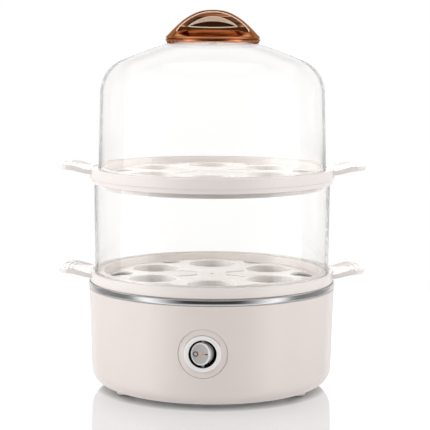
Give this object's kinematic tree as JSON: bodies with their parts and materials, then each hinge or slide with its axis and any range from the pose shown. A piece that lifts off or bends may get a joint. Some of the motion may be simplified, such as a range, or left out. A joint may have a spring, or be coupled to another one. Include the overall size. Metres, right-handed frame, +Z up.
{
  "type": "egg boiler",
  "caption": "Round electric egg boiler: a heated water-pan base with a rocker switch, stacked egg trays with side tongues, a clear tier wall and a clear domed lid with a copper knob.",
  "frame": {"origin": "centre of the bounding box in plan, at the level that the feet stand on", "axes": "+Z up along the axis of the stack, -Y towards the user (the switch side), +X to the user's right along the tray tongues"},
  "size_m": [0.204, 0.1672, 0.2524],
  "materials": {
    "white_moulding": "smooth, satin gloss, warm white",
    "clear_moulding": "clear, polished",
    "copper_chrome": "mirror plated, copper coloured",
    "bright_trim": "mirror bright",
    "brushed_steel": "satin",
    "soft_rubber": "matt",
    "cast_aluminium": "as cast, skimmed face",
    "element_ceramic": "matt, off white",
    "thermostat_phenolic": "matt, near black",
    "rocker_grey": "satin grey",
    "indicator_amber": "translucent, peach",
    "terminal_brass": "stamped",
    "lead_brown": "smooth insulation",
    "lead_blue": "smooth insulation"
  },
  "bodies": {
    "base": {"housing_shell": "white_moulding", "trim_band": "bright_trim", "heating_pan": "brushed_steel", "pan_seal": "soft_rubber", "heater_plate": "cast_aluminium", "ptc_element": "element_ceramic", "element_strap": "brushed_steel", "element_nut_1": "brushed_steel", "element_nut_2": "brushed_steel", "thermostat": "thermostat_phenolic", "thermostat_strap": "brushed_steel", "thermostat_nut_1": "brushed_steel", "thermostat_nut_2": "brushed_steel", "thermal_fuse": "brushed_steel", "bottom_cover": "white_moulding", "cover_screw_1": "brushed_steel", "cover_screw_2": "brushed_steel", "cover_screw_3": "brushed_steel", "foot_pad_1": "soft_rubber", "foot_pad_2": "soft_rubber", "foot_pad_3": "soft_rubber", "switch_plate": "white_moulding", "switch_case": "white_moulding", "switch_terminal_1": "terminal_brass", "switch_terminal_2": "terminal_brass", "switch_terminal_3": "terminal_brass", "cable_gland": "soft_rubber", "terminal_block": "element_ceramic", "lead_block_to_switch": "lead_brown", "lead_switch_to_fuse": "lead_brown", "lead_fuse_to_element": "lead_brown", "lead_element_to_thermostat": "lead_blue", "lead_thermostat_to_block": "lead_blue"},
    "rocker": {"rocker": "rocker_grey", "indicator_window": "indicator_amber"},
    "lower_tray": {"lower_tray": "white_moulding"},
    "tier": {"tier_wall": "clear_moulding"},
    "upper_tray": {"upper_tray": "white_moulding"},
    "lid": {"lid_dome": "clear_moulding", "lid_knob": "copper_chrome", "knob_washer": "soft_rubber", "knob_screw": "brushed_steel"}
  },
  "joints": [
    {"name": "rocker_tilt", "type": "hinge", "parent": "base", "child": "rocker", "pos_m": [-0.00509, -0.07765, 0.0374], "axis": [0, 0, 1], "range_deg": [0, 20]},
    {"name": "lower_tray_lift", "type": "slide", "parent": "base", "child": "lower_tray", "axis": [0, 0, 1], "range_m": [0, 0.04]},
    {"name": "tier_lift", "type": "slide", "parent": "lower_tray", "child": "tier", "axis": [0, 0, 1], "range_m": [0, 0.08]},
    {"name": "upper_tray_lift", "type": "slide", "parent": "tier", "child": "upper_tray", "axis": [0, 0, 1], "range_m": [0, 0.04]},
    {"name": "lid_lift", "type": "slide", "parent": "upper_tray", "child": "lid", "axis": [0, 0, 1], "range_m": [0, 0.1]}
  ]
}
